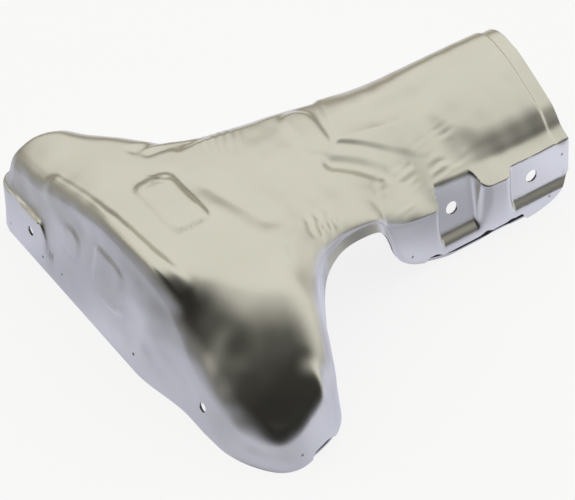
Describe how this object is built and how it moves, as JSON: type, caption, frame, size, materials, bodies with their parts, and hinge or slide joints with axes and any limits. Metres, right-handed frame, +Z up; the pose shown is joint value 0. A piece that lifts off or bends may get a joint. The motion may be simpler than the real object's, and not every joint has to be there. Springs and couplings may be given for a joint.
{
  "type": "exhaust heat shield",
  "caption": "Exhaust heat shield pressed from thin metal sheet, with a domed crossbar, a stepped arm, a notch and round bolt holes in flat pads.",
  "frame": {"origin": "centre of the bounding box at the height of the rim it lies on", "axes": "+X along the arm toward its open end, +Y along the crossbar toward its far end, +Z up through the domed top"},
  "size_m": [0.3123, 0.2803, 0.0915],
  "materials": {
    "outer_sheet": "satin aluminised sheet",
    "inner_sheet": "satin aluminised sheet"
  },
  "bodies": {
    "root": {"outer_sheet": "outer_sheet", "inner_sheet": "inner_sheet"}
  },
  "joints": []
}
